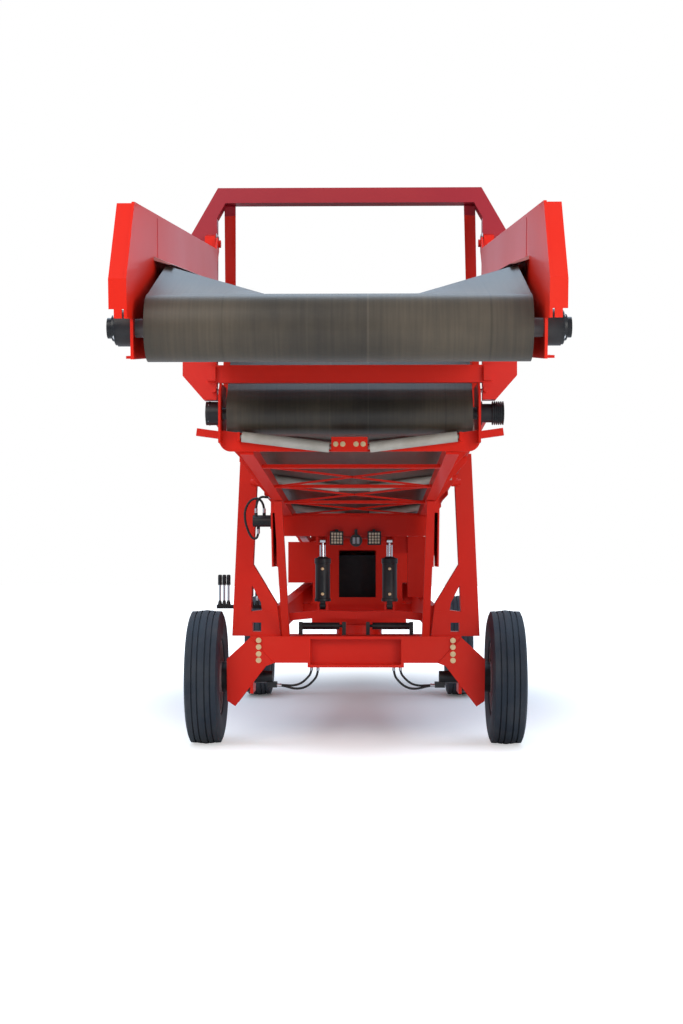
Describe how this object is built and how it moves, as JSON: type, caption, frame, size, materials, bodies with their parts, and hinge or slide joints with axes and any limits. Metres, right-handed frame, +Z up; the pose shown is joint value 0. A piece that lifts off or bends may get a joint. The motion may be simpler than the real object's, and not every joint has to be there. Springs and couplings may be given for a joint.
{
  "type": "wheeled stacker conveyor",
  "caption": "Wheeled stacker conveyor with a luffing lattice boom, folded head jib in a portal frame, belt loops, steered rear axle and lift cylinders, parked on its tyres.",
  "frame": {"origin": "on the ground, on the centre line, midway along the machine's length, below the main axle", "axes": "+X to the machine's side, -Y towards the discharge head, +Y towards the feed hopper, +Z up"},
  "size_m": [2.6198, 14.9085, 3.4398],
  "materials": {
    "belt_rubber": "matte",
    "black_paint": "satin",
    "chrome_rod": "polished",
    "dark_red_paint": "gloss",
    "drum_steel": "satin",
    "hose_rubber": "satin",
    "lamp_glass": "gloss",
    "red_paint": "gloss",
    "rim_grey": "satin",
    "roller_steel": "dusty",
    "skirt_rubber": "matte",
    "tyre_rubber": "matte"
  },
  "bodies": {
    "chassis": {"axle_beam": "red_paint", "hub_gearboxes": "black_paint", "wheel_motors": "black_paint", "wheel_towers": "red_paint", "rest_posts": "red_paint", "side_beams": "red_paint", "rear_bolster": "red_paint", "power_pack_housing": "red_paint", "engine_block": "black_paint", "gull_crossmember": "red_paint", "wheel_hose_left_outer": "hose_rubber", "wheel_hose_left_inner": "hose_rubber", "wheel_hose_right_outer": "hose_rubber", "wheel_hose_right_inner": "hose_rubber", "lever_bank": "black_paint", "axle_cylinders": "black_paint", "control_cabinet": "red_paint"},
    "wheel_front_left": {"tyre_front_left": "tyre_rubber", "rim_front_left": "rim_grey"},
    "wheel_front_right": {"tyre_front_right": "tyre_rubber", "rim_front_right": "rim_grey"},
    "rear_axle": {"rear_axle_beam": "red_paint"},
    "wheel_rear_left": {"tyre_rear_left": "tyre_rubber", "rim_rear_left": "rim_grey"},
    "wheel_rear_right": {"tyre_rear_right": "tyre_rubber", "rim_rear_right": "rim_grey"},
    "boom": {"bottom_chords": "red_paint", "bottom_bracing": "red_paint", "truss_panels": "red_paint", "drum_cradle": "red_paint", "portal_frame": "dark_red_paint", "main_belt": "belt_rubber", "belt_drums": "drum_steel", "drum_bearings": "black_paint", "gearmotor": "black_paint", "side_motor": "black_paint", "side_hose_arch": "hose_rubber", "side_hose_loop": "hose_rubber", "carrying_idlers": "roller_steel", "return_idlers": "roller_steel", "lift_beam": "red_paint", "boom_pivot": "red_paint", "trunnion_tubes": "red_paint", "hanger_plates": "red_paint", "work_lamps": "lamp_glass", "feed_hopper": "red_paint", "main_skirts": "red_paint", "jib_hinges": "red_paint"},
    "jib": {"jib_frame": "red_paint", "jib_wings": "red_paint", "jib_belt": "belt_rubber", "jib_drums": "drum_steel", "head_bearings": "black_paint", "jib_idlers": "roller_steel", "jib_skirts": "skirt_rubber"},
    "lift_barrels": {"lift_barrels": "black_paint"},
    "lift_rods": {"lift_rods": "chrome_rod"}
  },
  "joints": [
    {"name": "wheel_front_left_spin", "type": "hinge", "parent": "chassis", "child": "wheel_front_left", "pos_m": [-1.175, 0, 0.525], "axis": [1, 0, 0], "continuous": true},
    {"name": "wheel_front_right_spin", "type": "hinge", "parent": "chassis", "child": "wheel_front_right", "pos_m": [1.175, 0, 0.525], "axis": [1, 0, 0], "continuous": true},
    {"name": "rear_steer", "type": "hinge", "parent": "chassis", "child": "rear_axle", "pos_m": [0, 4.36, 0.7], "axis": [0, 0, 1], "range_deg": [-20, 20]},
    {"name": "wheel_rear_left_spin", "type": "hinge", "parent": "rear_axle", "child": "wheel_rear_left", "pos_m": [-1.05, 4.36, 0.525], "axis": [1, 0, 0], "continuous": true},
    {"name": "wheel_rear_right_spin", "type": "hinge", "parent": "rear_axle", "child": "wheel_rear_right", "pos_m": [1.05, 4.36, 0.525], "axis": [1, 0, 0], "continuous": true},
    {"name": "boom_luff", "type": "hinge", "parent": "chassis", "child": "boom", "pos_m": [0, 4.36, 1.5], "axis": [-1, 0, 0], "range_deg": [0, 4.6]},
    {"name": "jib_fold", "type": "hinge", "parent": "boom", "child": "jib", "pos_m": [0, -4.245, 3.13], "axis": [-1, 0, 0], "range_deg": [0, 10.4]},
    {"name": "barrel_tilt", "type": "hinge", "parent": "chassis", "child": "lift_barrels", "pos_m": [0, 0.3, 1.075], "axis": [-1, 0, 0], "range_deg": [-1, 4]},
    {"name": "rod_slide", "type": "slide", "parent": "lift_barrels", "child": "lift_rods", "axis": [0, 0, 1], "range_m": [-0.01, 0.345]}
  ],
  "couplings": [
    {"joint": "barrel_tilt", "follows": "boom_luff", "ratio": 0.3},
    {"joint": "rod_slide", "follows": "boom_luff", "m_per_rad": 4.06}
  ]
}
